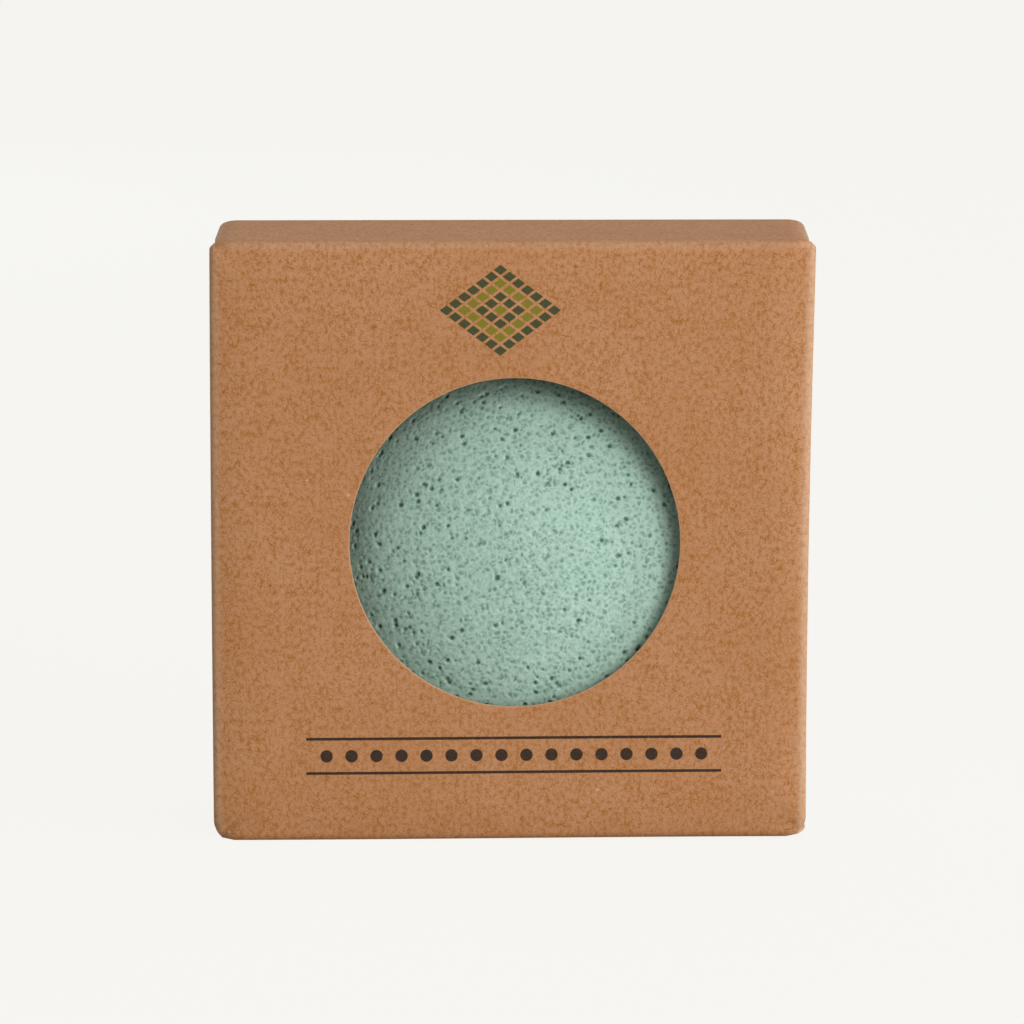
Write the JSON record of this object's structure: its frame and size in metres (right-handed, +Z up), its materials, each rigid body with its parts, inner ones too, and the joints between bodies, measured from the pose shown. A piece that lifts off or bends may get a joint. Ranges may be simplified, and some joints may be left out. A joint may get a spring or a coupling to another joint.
{
  "type": "boxed konjac sponge",
  "caption": "Porous half-ball konjac sponge in a square kraft tuck-end carton with a round window; lids, tuck tongues and dust flaps fold on their creases.",
  "frame": {"origin": "middle of the carton's base, on the surface it stands on", "axes": "+X to the viewer's right of the window panel, +Y from the window panel to the back, +Z up"},
  "size_m": [0.08, 0.036, 0.08],
  "materials": {
    "kraft_board": "matte",
    "konjac_foam": "matte",
    "seam_glue": "satin"
  },
  "bodies": {
    "carton": {"front_panel": "kraft_board", "right_panel": "kraft_board", "back_panel": "kraft_board", "left_panel": "kraft_board", "front_right_crease": "kraft_board", "back_right_crease": "kraft_board", "front_left_crease": "kraft_board", "seam_crease": "kraft_board", "seam_tab": "kraft_board", "seam_glue": "seam_glue", "top_lid_crease": "kraft_board", "top_dust_crease_left": "kraft_board", "top_dust_crease_right": "kraft_board", "bottom_lid_crease": "kraft_board", "bottom_dust_crease_left": "kraft_board", "bottom_dust_crease_right": "kraft_board"},
    "top_lid": {"top_lid": "kraft_board", "top_tuck_crease": "kraft_board"},
    "top_tuck": {"top_tuck_tongue": "kraft_board"},
    "top_dust_left": {"top_dust_flap_left": "kraft_board"},
    "top_dust_right": {"top_dust_flap_right": "kraft_board"},
    "bottom_lid": {"bottom_lid": "kraft_board", "bottom_tuck_crease": "kraft_board"},
    "bottom_tuck": {"bottom_tuck_tongue": "kraft_board"},
    "bottom_dust_left": {"bottom_dust_flap_left": "kraft_board"},
    "bottom_dust_right": {"bottom_dust_flap_right": "kraft_board"},
    "sponge": {"konjac_sponge": "konjac_foam"}
  },
  "joints": [
    {"name": "top_lid_hinge", "type": "hinge", "parent": "carton", "child": "top_lid", "pos_m": [0, -0.01709, 0.0791], "axis": [1, 0, 0], "range_deg": [0, 135]},
    {"name": "top_tuck_fold", "type": "hinge", "parent": "top_lid", "child": "top_tuck", "pos_m": [0, 0.01629, 0.0791], "axis": [1, 0, 0], "range_deg": [0, 33.75]},
    {"name": "top_dust_left_fold", "type": "hinge", "parent": "carton", "child": "top_dust_left", "pos_m": [-0.0391, 0, 0.0785], "axis": [0, -1, 0], "range_deg": [0, 81]},
    {"name": "top_dust_right_fold", "type": "hinge", "parent": "carton", "child": "top_dust_right", "pos_m": [0.0391, 0, 0.0785], "axis": [0, 1, 0], "range_deg": [0, 81]},
    {"name": "bottom_lid_hinge", "type": "hinge", "parent": "carton", "child": "bottom_lid", "pos_m": [0, -0.01709, 0.0009], "axis": [-1, 0, 0], "range_deg": [0, 135]},
    {"name": "bottom_tuck_fold", "type": "hinge", "parent": "bottom_lid", "child": "bottom_tuck", "pos_m": [0, 0.01629, 0.0009], "axis": [-1, 0, 0], "range_deg": [0, 33.75]},
    {"name": "bottom_dust_left_fold", "type": "hinge", "parent": "carton", "child": "bottom_dust_left", "pos_m": [-0.0391, 0, 0.0015], "axis": [0, 1, 0], "range_deg": [0, 81]},
    {"name": "bottom_dust_right_fold", "type": "hinge", "parent": "carton", "child": "bottom_dust_right", "pos_m": [0.0391, 0, 0.0015], "axis": [0, -1, 0], "range_deg": [0, 81]},
    {"name": "sponge_turn", "type": "hinge", "parent": "carton", "child": "sponge", "pos_m": [0.00595, 0, 0.03375], "axis": [0, 1, 0], "continuous": true}
  ],
  "couplings": [
    {"joint": "top_tuck_fold", "follows": "top_lid_hinge", "ratio": 0.25},
    {"joint": "top_dust_left_fold", "follows": "top_lid_hinge", "ratio": 0.6},
    {"joint": "top_dust_right_fold", "follows": "top_lid_hinge", "ratio": 0.6},
    {"joint": "bottom_tuck_fold", "follows": "bottom_lid_hinge", "ratio": 0.25},
    {"joint": "bottom_dust_left_fold", "follows": "bottom_lid_hinge", "ratio": 0.6},
    {"joint": "bottom_dust_right_fold", "follows": "bottom_lid_hinge", "ratio": 0.6}
  ]
}
